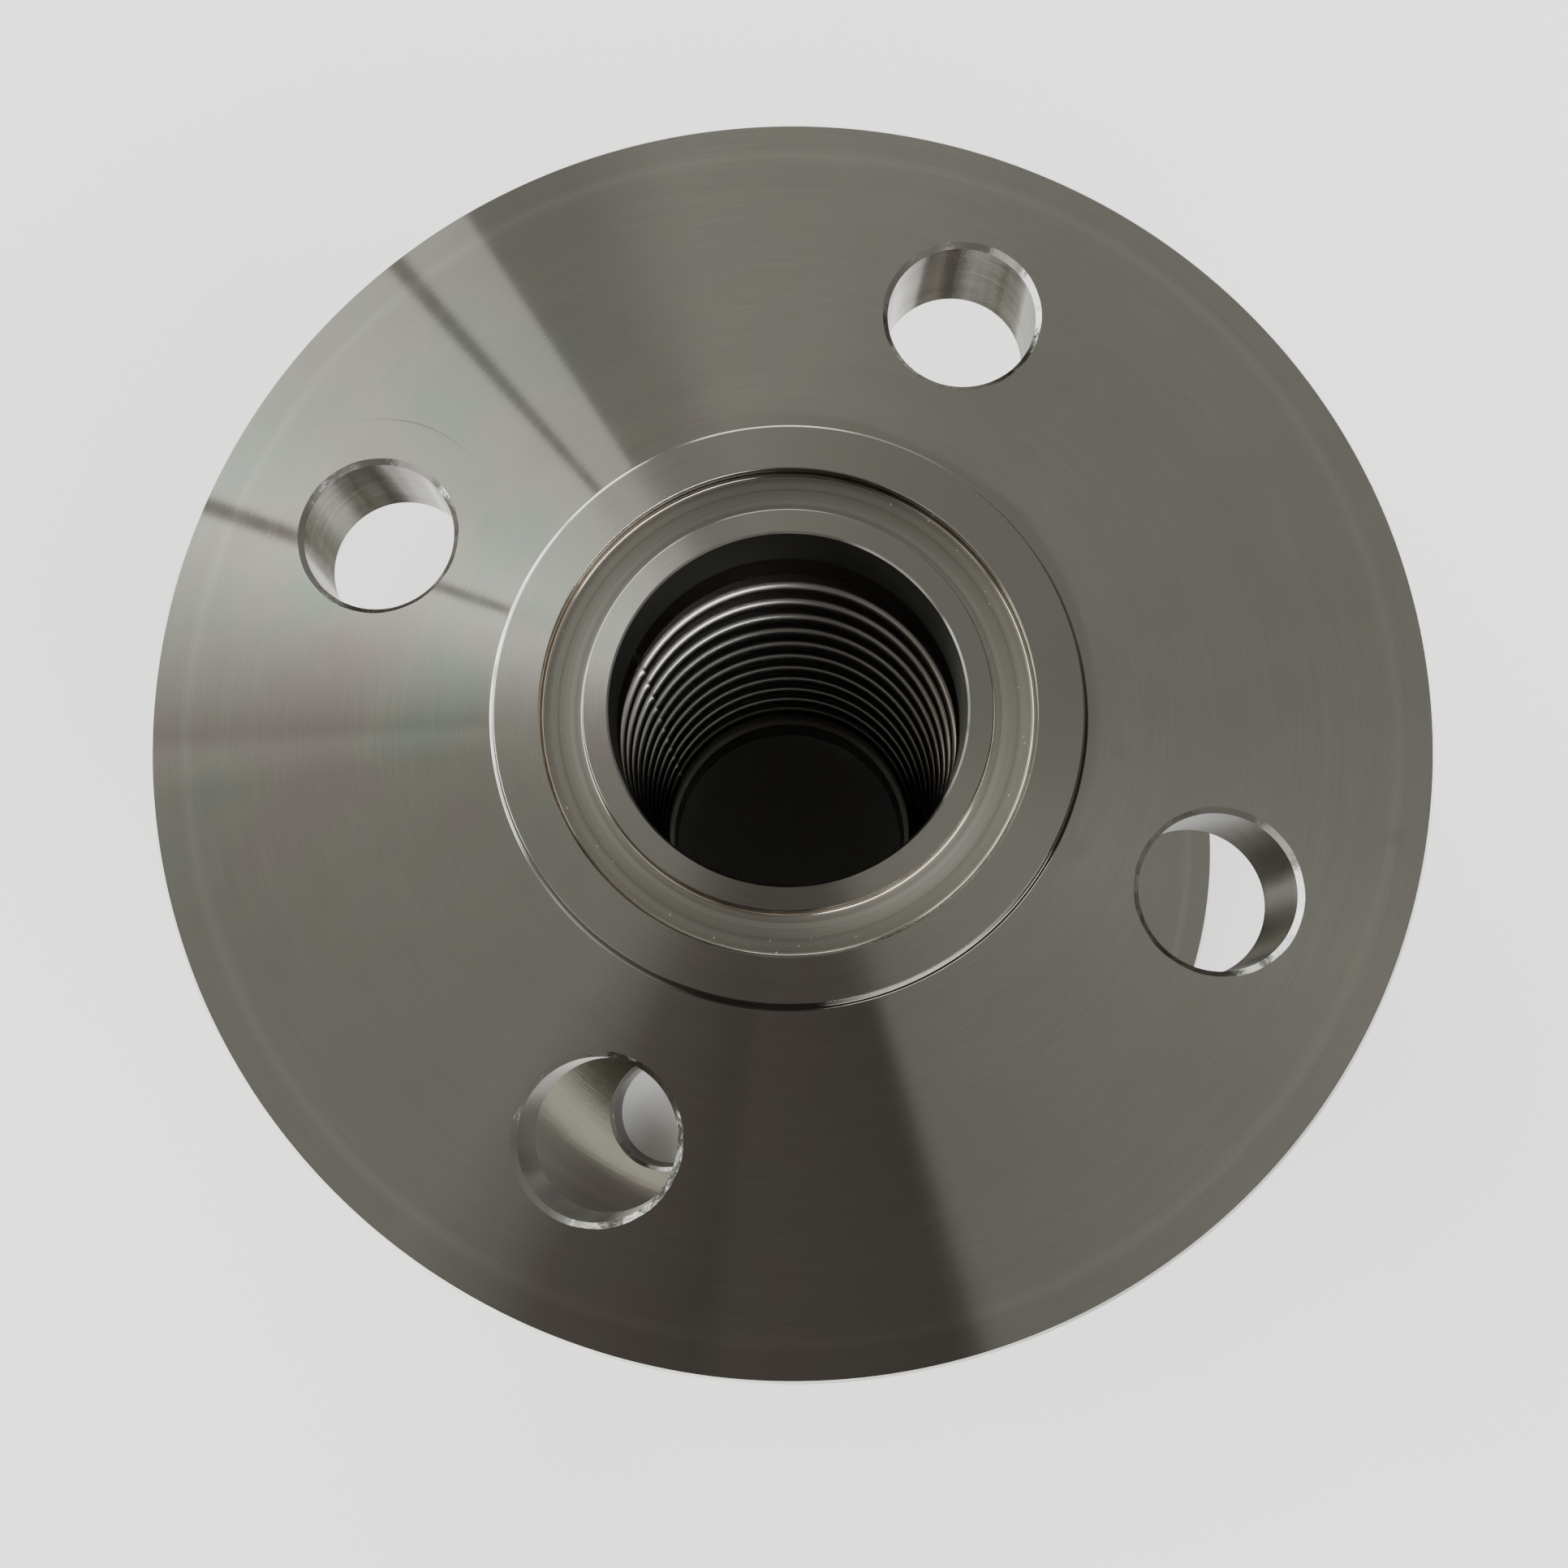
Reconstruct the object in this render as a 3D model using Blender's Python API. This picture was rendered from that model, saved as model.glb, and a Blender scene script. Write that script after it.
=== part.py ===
"""A metal bellows expansion joint between two drilled pipe flanges.

The joint stands on its lower sealing face, with its axis along +Z and the origin at the
middle of that face.  A thin formed bellows of eleven convolutions runs from flange to
flange.  Each end of it is a short straight cuff that sits in a counterbore in the flange's
back, inside a collar ring, and one fillet weld closes the collar to the flange.  Each
convolution is a ring of its own, because the bellows bends and stretches from one to the
next.  The bolt holes straddle the X and Y axes.
"""

import math

import bmesh
import bpy
from mathutils import Matrix, Vector

MM = 0.001
GAP = 0.3 * MM  # clearance that is kept between separate pieces

# flange
FLANGE_RADIUS = 70.0 * MM
DISC_THICKNESS = 14.0 * MM
RIM_CHAMFER = 0.6 * MM
BORE_RADIUS = 19.5 * MM
BORE_CHAMFER = 0.5 * MM

# sealing face
FACE_RADIUS = 32.0 * MM
FACE_HEIGHT = 1.5 * MM
FACE_STEP_SLOPE = 0.5 * MM
GROOVE_INNER_RADIUS = 22.3 * MM
GROOVE_OUTER_RADIUS = 27.0 * MM
GROOVE_DEPTH = 2.0 * MM
GROOVE_WALL_SLOPE = 0.3 * MM

# bolt holes
BOLT_CIRCLE_RADIUS = 50.0 * MM
BOLT_HOLE_RADIUS = 8.5 * MM
BOLT_HOLE_CHAMFER = 0.55 * MM
BOLT_COUNT = 4
FIRST_BOLT_ANGLE = math.radians(45.0)

# bellows
CONVOLUTIONS = 11
PITCH = 7.4 * MM
WALL = 0.4 * MM
ROOT_RADIUS = 20.3 * MM  # inside the sheet, where a convolution is nearest the axis
CREST_RADIUS = 29.0 * MM  # outside the sheet, where it is farthest from the axis
FLANK_LEAN = 0.35 * MM

# ends of the bellows
CUFF_EXPOSED = 1.3 * MM
COUNTERBORE_DEPTH = 6.0 * MM
COLLAR_THICKNESS = 2.7 * MM
COLLAR_EXPOSED = 0.7 * MM
WELD_LEG = 1.3 * MM
WELD_HEIGHT = 0.9 * MM
WELD_POINTS = 4

# places along the axis
BELLOWS_SPACE = CONVOLUTIONS * PITCH + 2 * CUFF_EXPOSED
LOWER_BACK_Z = FACE_HEIGHT + DISC_THICKNESS
UPPER_BACK_Z = LOWER_BACK_Z + BELLOWS_SPACE

# facets around the axis
FLANGE_SEGMENTS = 56
RING_SEGMENTS = 28
BELLOWS_SEGMENTS = 20
HOLE_SEGMENTS = 16


def clear_scene():
    for obj in list(bpy.data.objects):
        bpy.data.objects.remove(obj, do_unlink=True)


def steel(name, colour, roughness):
    """A bare stainless steel finish."""
    material = bpy.data.materials.new(name)
    material.use_nodes = True
    shader = material.node_tree.nodes["Principled BSDF"]
    shader.inputs["Base Color"].default_value = (*colour, 1.0)
    shader.inputs["Metallic"].default_value = 1.0
    shader.inputs["Roughness"].default_value = roughness
    return material


def turned(name, profile, segments, material):
    """A closed ring about Z from a closed outline of (radius, z) points."""
    mesh = bpy.data.meshes.new(name)
    bm = bmesh.new()
    loops = []
    for i in range(segments):
        angle = 2 * math.pi * i / segments
        direction = Vector((math.cos(angle), math.sin(angle), 0.0))
        loops.append([bm.verts.new(direction * r + Vector((0.0, 0.0, z))) for r, z in profile])
    for i in range(segments):
        here, there = loops[i], loops[(i + 1) % segments]
        for k in range(len(profile)):
            n = (k + 1) % len(profile)
            bm.faces.new((here[k], here[n], there[n], there[k]))
    bmesh.ops.recalc_face_normals(bm, faces=bm.faces)
    bm.to_mesh(mesh)
    bm.free()
    mesh.shade_smooth()
    mesh.set_sharp_from_angle(angle=math.radians(30.0))
    mesh.materials.append(material)
    obj = bpy.data.objects.new(name, mesh)
    bpy.context.scene.collection.objects.link(obj)
    return obj


def place_end(obj, upper):
    """Moves a piece made with the flange's back at z = 0 and the bellows above it to its end."""
    if upper:
        obj.rotation_euler = (math.pi, 0.0, 0.0)
        obj.location = (0.0, 0.0, UPPER_BACK_Z)
    else:
        obj.location = (0.0, 0.0, LOWER_BACK_Z)
    return obj


def collar_inner_radius():
    return ROOT_RADIUS + WALL + GAP


def collar_outer_radius():
    return collar_inner_radius() + COLLAR_THICKNESS


def flange_profile():
    """Half section of a flange, from the counterbore's mouth round the rim to the bore."""
    counterbore = collar_outer_radius() + GAP
    disc_face = -DISC_THICKNESS
    seal_face = disc_face - FACE_HEIGHT
    groove_floor = seal_face + GROOVE_DEPTH
    return [
        (counterbore, 0.0),
        (FLANGE_RADIUS - RIM_CHAMFER, 0.0),
        (FLANGE_RADIUS, -RIM_CHAMFER),
        (FLANGE_RADIUS, disc_face + RIM_CHAMFER),
        (FLANGE_RADIUS - RIM_CHAMFER, disc_face),
        (FACE_RADIUS + FACE_STEP_SLOPE, disc_face),
        (FACE_RADIUS, seal_face),
        (GROOVE_OUTER_RADIUS, seal_face),
        (GROOVE_OUTER_RADIUS - GROOVE_WALL_SLOPE, groove_floor),
        (GROOVE_INNER_RADIUS + GROOVE_WALL_SLOPE, groove_floor),
        (GROOVE_INNER_RADIUS, seal_face),
        (BORE_RADIUS + BORE_CHAMFER, seal_face),
        (BORE_RADIUS, seal_face + BORE_CHAMFER),
        (BORE_RADIUS, -COUNTERBORE_DEPTH),
        (counterbore, -COUNTERBORE_DEPTH),
    ]


def hole_cutter(name, angle):
    """A drill that runs past both faces of the disc and chamfers both edges of its hole."""
    past = 1.0 * MM
    edge = BOLT_HOLE_RADIUS + BOLT_HOLE_CHAMFER
    middle = Vector((math.cos(angle), math.sin(angle), 0.0)) * BOLT_CIRCLE_RADIUS
    stations = [
        (edge + past, past),
        (BOLT_HOLE_RADIUS, -BOLT_HOLE_CHAMFER),
        (BOLT_HOLE_RADIUS, -DISC_THICKNESS + BOLT_HOLE_CHAMFER),
        (edge + past, -DISC_THICKNESS - past),
    ]
    bm = bmesh.new()
    loops = []
    for radius, z in stations:
        ring = bmesh.ops.create_circle(
            bm,
            segments=HOLE_SEGMENTS,
            radius=radius,
            matrix=Matrix.Translation(middle + Vector((0.0, 0.0, z))),
        )
        loops.append(ring["verts"])
    for low, high in zip(loops, loops[1:]):
        for i in range(HOLE_SEGMENTS):
            n = (i + 1) % HOLE_SEGMENTS
            bm.faces.new((low[i], low[n], high[n], high[i]))
    bm.faces.new(loops[0])
    bm.faces.new(loops[-1])
    bmesh.ops.recalc_face_normals(bm, faces=bm.faces)
    mesh = bpy.data.meshes.new(name)
    bm.to_mesh(mesh)
    bm.free()
    cutter = bpy.data.objects.new(name, mesh)
    cutter.hide_render = True
    cutter.display_type = "WIRE"
    bpy.context.scene.collection.objects.link(cutter)
    return cutter


def flange(name, upper, material):
    obj = turned(name, flange_profile(), FLANGE_SEGMENTS, material)
    for i in range(BOLT_COUNT):
        angle = FIRST_BOLT_ANGLE + 2 * math.pi * i / BOLT_COUNT
        cutter = hole_cutter(f"{name}_drill_{i + 1}", angle)
        place_end(cutter, upper)
        cut = obj.modifiers.new(f"bolt_hole_{i + 1}", "BOOLEAN")
        cut.operation = "DIFFERENCE"
        cut.solver = "EXACT"
        cut.object = cutter
    return place_end(obj, upper)


def cuff(name, upper, material):
    """The straight end of the bellows, which sits in the flange's counterbore."""
    low = -COUNTERBORE_DEPTH + GAP
    high = CUFF_EXPOSED - GAP / 2
    inner, outer = ROOT_RADIUS, ROOT_RADIUS + WALL
    profile = [(inner, low), (outer, low), (outer, high), (inner, high)]
    return place_end(turned(name, profile, RING_SEGMENTS, material), upper)


def collar(name, upper, material):
    """The ring that backs the thin cuff inside the counterbore."""
    low, high = -COUNTERBORE_DEPTH + GAP, COLLAR_EXPOSED
    inner, outer = collar_inner_radius(), collar_outer_radius()
    profile = [(inner, low), (outer, low), (outer, high), (inner, high)]
    return place_end(turned(name, profile, RING_SEGMENTS, material), upper)


def weld(name, upper, material):
    """The fillet weld in the corner between the collar and the flange's back."""
    inner = collar_outer_radius() + GAP
    profile = [(inner, GAP)]
    for i in range(WELD_POINTS + 1):
        angle = math.pi / 2 * i / WELD_POINTS
        across = inner + WELD_LEG * math.cos(angle)
        along = GAP + (WELD_HEIGHT - GAP) * math.sin(angle)
        profile.append((across, along))
    return place_end(turned(name, profile, RING_SEGMENTS, material), upper)


def offset_line(points, distance):
    """The open line moved sideways by distance, with mitred corners."""
    moved = []
    for i, point in enumerate(points):
        before = (point - points[max(i - 1, 0)]).normalized()
        after = (points[min(i + 1, len(points) - 1)] - point).normalized()
        along = (before + after).normalized()
        sideways = Vector((-along.y, along.x))
        reference = after if i < len(points) - 1 else before
        half_turn = max(along.dot(reference), 0.1)
        moved.append(point + sideways * distance / half_turn)
    return moved


def convolution(name, index, material):
    """One U-shaped ring of the bellows, from the middle of one root to the next."""
    middle = LOWER_BACK_Z + CUFF_EXPOSED + (index + 0.5) * PITCH
    end = PITCH / 2 - GAP / 2
    root = ROOT_RADIUS + WALL / 2
    crest = CREST_RADIUS - WALL / 2
    flank = PITCH / 4
    centre_line = [
        Vector((root, -end)),
        Vector((root, -flank - FLANK_LEAN)),
        Vector((crest, -flank + FLANK_LEAN)),
        Vector((crest, flank - FLANK_LEAN)),
        Vector((root, flank + FLANK_LEAN)),
        Vector((root, end)),
    ]
    inside = offset_line(centre_line, WALL / 2)
    outside = offset_line(centre_line, -WALL / 2)
    profile = [(p.x, p.y) for p in inside + outside[::-1]]
    obj = turned(name, profile, BELLOWS_SEGMENTS, material)
    obj.location = (0.0, 0.0, middle)
    return obj


def build():
    clear_scene()
    turned_steel = steel("turned_steel", (0.42, 0.41, 0.37), 0.28)
    bellows_steel = steel("bellows_steel", (0.50, 0.49, 0.46), 0.22)
    weld_steel = steel("weld_steel", (0.33, 0.31, 0.29), 0.40)
    for end in ("lower", "upper"):
        upper = end == "upper"
        flange(f"{end}_flange", upper, turned_steel)
        collar(f"{end}_collar", upper, turned_steel)
        weld(f"{end}_weld", upper, weld_steel)
        cuff(f"{end}_cuff", upper, bellows_steel)
    for index in range(CONVOLUTIONS):
        convolution(f"convolution_{index + 1:02d}", index, bellows_steel)


build()
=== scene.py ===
"""Looks for a metal bellows expansion joint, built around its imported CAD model.

The camera looks down the bore of the upper flange, from 12 degrees off the axis.
"""

import math

import bmesh
import bpy
from mathutils import Matrix, Vector


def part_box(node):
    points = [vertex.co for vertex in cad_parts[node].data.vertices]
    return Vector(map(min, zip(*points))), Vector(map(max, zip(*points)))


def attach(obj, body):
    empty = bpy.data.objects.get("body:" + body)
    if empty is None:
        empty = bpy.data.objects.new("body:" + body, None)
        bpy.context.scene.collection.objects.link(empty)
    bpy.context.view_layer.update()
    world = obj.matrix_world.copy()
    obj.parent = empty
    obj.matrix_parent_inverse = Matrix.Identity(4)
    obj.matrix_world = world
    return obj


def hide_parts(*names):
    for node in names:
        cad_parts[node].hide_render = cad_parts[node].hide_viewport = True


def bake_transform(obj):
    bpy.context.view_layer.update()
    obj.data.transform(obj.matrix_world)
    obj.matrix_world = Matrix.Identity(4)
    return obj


MM = 0.001

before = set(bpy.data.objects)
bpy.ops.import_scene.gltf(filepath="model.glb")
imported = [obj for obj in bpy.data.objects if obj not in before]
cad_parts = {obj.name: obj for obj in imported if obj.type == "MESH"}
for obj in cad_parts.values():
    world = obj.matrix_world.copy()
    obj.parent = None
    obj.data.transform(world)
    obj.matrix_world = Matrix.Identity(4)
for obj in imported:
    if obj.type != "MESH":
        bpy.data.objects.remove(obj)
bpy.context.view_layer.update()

# places that the frame gives
LOWER_FLANGE_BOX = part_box("lower_flange")
UPPER_FLANGE_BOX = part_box("upper_flange")
FLANGE_RADIUS = UPPER_FLANGE_BOX[1].x
LOWER_BACK_Z = LOWER_FLANGE_BOX[1].z
UPPER_BACK_Z = UPPER_FLANGE_BOX[0].z
TOP_Z = UPPER_FLANGE_BOX[1].z
CONVOLUTIONS = sum(name.startswith("convolution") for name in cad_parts)

# flange
FACE_HEIGHT = 1.5 * MM
DISC_THICKNESS = LOWER_BACK_Z - FACE_HEIGHT
FACE_RADIUS = 32.0 * MM
FACE_STEP_SLOPE = 0.4 * MM
BORE_RADIUS = 19.5 * MM
BORE_CHAMFER = 0.22 * MM
RIM_CHAMFER = 0.35 * MM
GROOVE_INNER_RADIUS = 22.3 * MM
GROOVE_OUTER_RADIUS = 27.0 * MM
GROOVE_DEPTH = 1.9 * MM
COUNTERBORE_RADIUS = 23.9 * MM
COUNTERBORE_DEPTH = 6.0 * MM
BOLT_CIRCLE_RADIUS = 50.0 * MM
BOLT_HOLE_RADIUS = 8.45 * MM
BOLT_HOLE_CHAMFER = 0.6 * MM
BOLT_COUNT = 4
FIRST_BOLT_ANGLE = math.radians(45.0)

# bellows
CUFF_EXPOSED = 1.3 * MM
PITCH = (UPPER_BACK_Z - LOWER_BACK_Z - 2 * CUFF_EXPOSED) / CONVOLUTIONS
WALL = 0.32 * MM
CUFF_RADIUS = 20.3 * MM
CUFF_END = -COUNTERBORE_DEPTH + 0.05 * MM
ROOT_RADIUS = 19.8 * MM
CREST_RADIUS = 28.95 * MM
ROOT_BEND = 0.9 * MM
SEAM_HEIGHT = 0.15 * MM
SEAM_WIDTH = 0.6 * MM

# collar and weld
COLLAR_INNER_RADIUS = 20.75 * MM
COLLAR_OUTER_RADIUS = 23.75 * MM
COLLAR_EXPOSED = 0.7 * MM
WELD_REACH = 1.6 * MM
WELD_HEIGHT = 0.85 * MM
WELD_RIPPLES = 84

# camera: a phone held close over the upper face
FACE_CENTRE = Vector((0.0, 0.0, TOP_Z - FACE_HEIGHT))
CAMERA_PLACE = Vector((-13.68, -35.88, 292.25)) * MM
CAMERA_TARGET = FACE_CENTRE + Vector((-4.45, -2.33, 0.0)) * MM
CAMERA_UP_AZIMUTH = math.radians(68.65)
CAMERA_LENS = 38.46
CAMERA_SHIFT = (0.0169, -0.0264)

# the view's own directions, counted clockwise as seen from above from the view's right
VIEW_RIGHT_AZIMUTH = CAMERA_UP_AZIMUTH - math.pi / 2
SEAM_AZIMUTH = VIEW_RIGHT_AZIMUTH - math.radians(207.75)

# places of marks as (radius, angle), with the angle in degrees clockwise from the view's right:
# a turning mark near the rim, a washer's arc beside one hole, an oil film and a wiped edge
RIM_MARK_RADIUS = 66.0 * MM
RIM_MARK_WIDTH = 0.9 * MM
WASHER_PLACE = (BOLT_CIRCLE_RADIUS, 203.65)
WASHER_RADIUS = 13.7 * MM
WASHER_LINE = 0.12 * MM
WASHER_MARK_PLACE = (53.5 * MM, 219.5)
WASHER_MARK_REACH = 9.0 * MM
OILY_PLACE = (50.0 * MM, 195.0)
OILY_REACH = 48.0 * MM
WIPED_PLACE = (34.0 * MM, 325.0)
WIPED_REACH = 42.0 * MM
WIPED_RADIUS = 36.6 * MM
# smudges on the face (radius, angle, reach)
SMUDGES = (
    (34.5 * MM, 26.0, 1.6 * MM),
    (36.0 * MM, 8.0, 1.4 * MM),
    (66.5 * MM, 12.5, 0.6 * MM),
    (41.0 * MM, 118.0, 1.5 * MM),
    (39.0 * MM, 252.0, 1.0 * MM),
)

# painted shade on one side of the face's step and of the groove's walls (place, reach, depth), and of the
# bellows
STEP_PAINTED_SHADE = ((FACE_RADIUS, 55.0), 60.0 * MM, 0.9)
GROOVE_SIDE_PAINTED_SHADE = ((GROOVE_OUTER_RADIUS, 275.0), 21.0 * MM, 0.62)
SHEET_PAINTED_SHADE_PLACE = (ROOT_RADIUS, 345.0)
SHEET_PAINTED_SHADE_REACH = 30.0 * MM
# darker sides of the seal groove's floor (angle, reach, depth)
GROOVE_DARK_SIDES = ((250.0, 46.0 * MM, 0.54), (92.0, 22.0 * MM, 0.35))

ACROSS_MARKS = 0.25  # a quarter turn: reflections spread across the turning marks

# a flange's finishes, in the order of its material slots
FACE, WALL_FINISH, GROOVE, FILLET, GROOVE_SIDE, RAISED = range(6)

# steps round each turned shape
FACE_SEGMENTS = 288
HOLE_SEGMENTS = 96
COLLAR_SEGMENTS = 160
SHEET_SEGMENTS = 240


# ---------------------------------------------------------------- mesh helpers


def arc(centre, radius, start, end, steps):
    """Points of an arc in the (radius, z) plane, angles in degrees, both ends included."""
    points = []
    for i in range(steps + 1):
        angle = math.radians(start + (end - start) * i / steps)
        points.append((centre[0] + radius * math.cos(angle), centre[1] + radius * math.sin(angle)))
    return points


def even_angles(count):
    return [2 * math.pi * (i + 0.2) / count for i in range(count)]


def lathe(name, profile, angles, shape=None):
    """A closed ring from a closed outline of (radius, z) points.

    shape(angle, index) gives a sideways shift (radial, axial) of a point, for welds.
    """
    bm = bmesh.new()
    loops = []
    for angle in angles:
        loop = []
        for index, (radius, z) in enumerate(profile):
            shift = shape(angle, index) if shape else (0.0, 0.0)
            r = radius + shift[0]
            loop.append(bm.verts.new((r * math.cos(angle), r * math.sin(angle), z + shift[1])))
        loops.append(loop)
    for i, here in enumerate(loops):
        there = loops[(i + 1) % len(loops)]
        for k in range(len(profile)):
            n = (k + 1) % len(profile)
            bm.faces.new((here[k], here[n], there[n], there[k]))
    bmesh.ops.recalc_face_normals(bm, faces=bm.faces)
    mesh = bpy.data.meshes.new(name)
    bm.to_mesh(mesh)
    bm.free()
    mesh.shade_smooth()
    obj = bpy.data.objects.new(name, mesh)
    bpy.context.scene.collection.objects.link(obj)
    return obj


def sharpen(obj, degrees=28.0):
    obj.data.set_sharp_from_angle(angle=math.radians(degrees))


def apply_modifiers(obj):
    bpy.context.view_layer.update()
    graph = bpy.context.evaluated_depsgraph_get()
    mesh = bpy.data.meshes.new_from_object(obj.evaluated_get(graph))
    obj.modifiers.clear()
    obj.data = mesh


def stand_at(obj, upper):
    """Moves a piece made with the flange's back at z = 0 and the bellows above it to its end."""
    if upper:
        turn = Matrix.Rotation(math.pi, 4, "X")
        obj.data.transform(Matrix.Translation((0.0, 0.0, UPPER_BACK_Z)) @ turn)
    else:
        obj.data.transform(Matrix.Translation((0.0, 0.0, LOWER_BACK_Z)))


# ------------------------------------------------------------------- materials


def fill_ramp(ramp, stops):
    """Sets a colour ramp from (place, grey or colour) stops in rising order."""
    ramp.elements.remove(ramp.elements[1])
    ramp.elements[0].position = stops[0][0]
    for index, (place, colour) in enumerate(stops):
        element = ramp.elements.new(place) if index else ramp.elements[0]
        element.color = (*colour, 1.0) if isinstance(colour, tuple) else (colour,) * 3 + (1.0,)


class Nodes:
    """A thin wrapper that adds and links the shader nodes of a material or a world."""

    def __init__(self, owner):
        owner.use_nodes = True
        self.owner = owner
        self.tree = owner.node_tree
        self.shader = self.tree.nodes.get("Principled BSDF")

    def add(self, kind, inputs=None, **settings):
        node = self.tree.nodes.new(kind)
        for key, value in settings.items():
            setattr(node, key, value)
        for key, value in (inputs or {}).items():
            if isinstance(value, bpy.types.NodeSocket):
                self.tree.links.new(value, node.inputs[key])
            else:
                node.inputs[key].default_value = value
        return node

    def maths(self, operation, a, b=0.0, c=0.0, clamp=False):
        node = self.add("ShaderNodeMath", {0: a, 1: b, 2: c}, operation=operation, use_clamp=clamp)
        return node.outputs[0]

    def set(self, **values):
        for key, value in values.items():
            socket = self.shader.inputs[key.replace("_", " ")]
            if isinstance(value, bpy.types.NodeSocket):
                self.tree.links.new(value, socket)
            else:
                socket.default_value = value

    def ramp(self, factor, stops):
        node = self.add("ShaderNodeValToRGB", {"Fac": factor})
        fill_ramp(node.color_ramp, stops)
        return node.outputs["Color"]

    def position(self):
        return self.add("ShaderNodeTexCoord").outputs["Object"]

    def radial_tangent(self):
        """The direction of turning marks round the joint's axis."""
        return self.add("ShaderNodeTangent", direction_type="RADIAL", axis="Z").outputs[0]

    def split(self, vector):
        node = self.add("ShaderNodeSeparateXYZ", {0: vector})
        return node.outputs["X"], node.outputs["Y"], node.outputs["Z"]

    def radius(self):
        """Distance from the joint's axis, in metres."""
        x, y, _ = self.split(self.position())
        squares = self.maths("ADD", self.maths("MULTIPLY", x, x), self.maths("MULTIPLY", y, y))
        return self.maths("SQRT", squares)

    def noise(self, vector, scale, detail=2.0, roughness=0.5, dimensions="3D"):
        settings = {"Scale": scale, "Detail": detail, "Roughness": roughness}
        key = "W" if dimensions == "1D" else "Vector"
        settings[key] = vector
        return self.add("ShaderNodeTexNoise", settings, noise_dimensions=dimensions).outputs["Fac"]

    def bump(self, height, distance, strength):
        settings = {"Height": height, "Distance": distance, "Strength": strength}
        return self.add("ShaderNodeBump", settings).outputs["Normal"]

    def mix(self, factor, a, b, blend="MIX"):
        node = self.add("ShaderNodeMix", data_type="RGBA", blend_type=blend)
        for index, value in ((0, factor), (6, a), (7, b)):
            if isinstance(value, bpy.types.NodeSocket):
                self.tree.links.new(value, node.inputs[index])
            elif isinstance(value, tuple):
                node.inputs[index].default_value = (*value, 1.0)
            else:
                node.inputs[index].default_value = value
        return node.outputs[2]


def start_material(name):
    return Nodes(bpy.data.materials.new(name))


def along_marks(nodes):
    """The direction of turning marks on a wall that is not level: level, and across its normal."""
    normal = nodes.add("ShaderNodeNewGeometry").outputs["Normal"]
    up = (0.0, 0.0, 1.0)
    cross = nodes.add("ShaderNodeVectorMath", {0: normal, 1: up}, operation="CROSS_PRODUCT")
    return nodes.add("ShaderNodeVectorMath", {0: cross.outputs[0]}, operation="NORMALIZE").outputs[0]


def face_point(radius, angle):
    """A place on the face: angle in degrees clockwise from the view's right, as seen from above."""
    azimuth = VIEW_RIGHT_AZIMUTH - math.radians(angle)
    return (radius * math.cos(azimuth), radius * math.sin(azimuth), 0.0)


def level_distance(nodes, place):
    """Distance on the level from a fixed place, in metres."""
    level = (1.0, 1.0, 0.0)
    flat = nodes.add("ShaderNodeVectorMath", {0: nodes.position(), 1: level}, operation="MULTIPLY")
    away = nodes.add("ShaderNodeVectorMath", {0: flat.outputs[0], 1: place}, operation="DISTANCE")
    return away.outputs["Value"]


def near_place(nodes, place, reach):
    """One at a (radius, angle) place of the face, falling evenly to nothing at this reach from it."""
    return band(nodes, level_distance(nodes, face_point(*place)), 0.0, reach)


def band(nodes, value, middle, half_width):
    """One at the middle, falling evenly to nothing at half_width to each side."""
    off = nodes.maths("ABSOLUTE", nodes.maths("SUBTRACT", value, middle))
    return nodes.maths("SUBTRACT", 1.0, nodes.maths("DIVIDE", off, half_width), clamp=True)


def edge_ramp(nodes, distance, start, end):
    """A ramp between two (metres, value) stops, both under 0.1 m."""
    tenths = nodes.maths("MULTIPLY", distance, 10.0)
    return nodes.ramp(tenths, [(start[0] * 10.0, start[1]), (end[0] * 10.0, end[1])])


def dust(nodes, spacing, size, share):
    """Sparse specks: one cell in so many of this spacing holds a dot of this radius."""
    cells = nodes.add("ShaderNodeTexVoronoi", {"Vector": nodes.position(), "Scale": 1.0 / spacing})
    near = nodes.maths("LESS_THAN", cells.outputs["Distance"], size / spacing)
    pick, _, _ = nodes.split(cells.outputs["Color"])
    return nodes.maths("MULTIPLY", near, nodes.maths("LESS_THAN", pick, share))


def turned_streaks(nodes, across, along):
    """Noise drawn out round the axis: streaks this many to a metre across, and so many round."""
    radius = nodes.radius()
    x, y, _ = nodes.split(nodes.position())
    parts = {
        "X": nodes.maths("MULTIPLY", radius, across),
        "Y": nodes.maths("MULTIPLY", nodes.maths("DIVIDE", x, radius), along),
        "Z": nodes.maths("MULTIPLY", nodes.maths("DIVIDE", y, radius), along),
    }
    return nodes.noise(nodes.add("ShaderNodeCombineXYZ", parts).outputs[0], 1.0, 3.0, 0.6)


def face_steel(nodes, coarse, cloud):
    """The face's colour: turning bands and streaks, dull clouds, and an oil film's pink and green."""
    base = nodes.mix(coarse, (0.447, 0.438, 0.398), (0.473, 0.462, 0.422))
    streak = nodes.ramp(turned_streaks(nodes, 4800.0, 6.0), [(0.36, 0.97), (0.50, 1.0), (0.66, 1.035)])
    base = nodes.mix(1.0, base, streak, "MULTIPLY")
    darkening = nodes.ramp(cloud, [(0.42, 0.0), (0.66, 0.45)])
    base = nodes.mix(darkening, base, (0.400, 0.392, 0.358))
    pink, clear, green = (1.0, 0.89, 0.94), (1.0, 1.0, 0.97), (0.86, 1.0, 0.955)
    hue = nodes.noise(nodes.position(), 70.0, 2.0, 0.5)
    film = nodes.ramp(hue, [(0.36, pink), (0.50, clear), (0.62, green)])
    oily = nodes.maths("MULTIPLY_ADD", near_place(nodes, OILY_PLACE, OILY_REACH), 0.80, 0.20)
    return nodes.mix(oily, base, nodes.mix(1.0, base, film, "MULTIPLY"))


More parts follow.
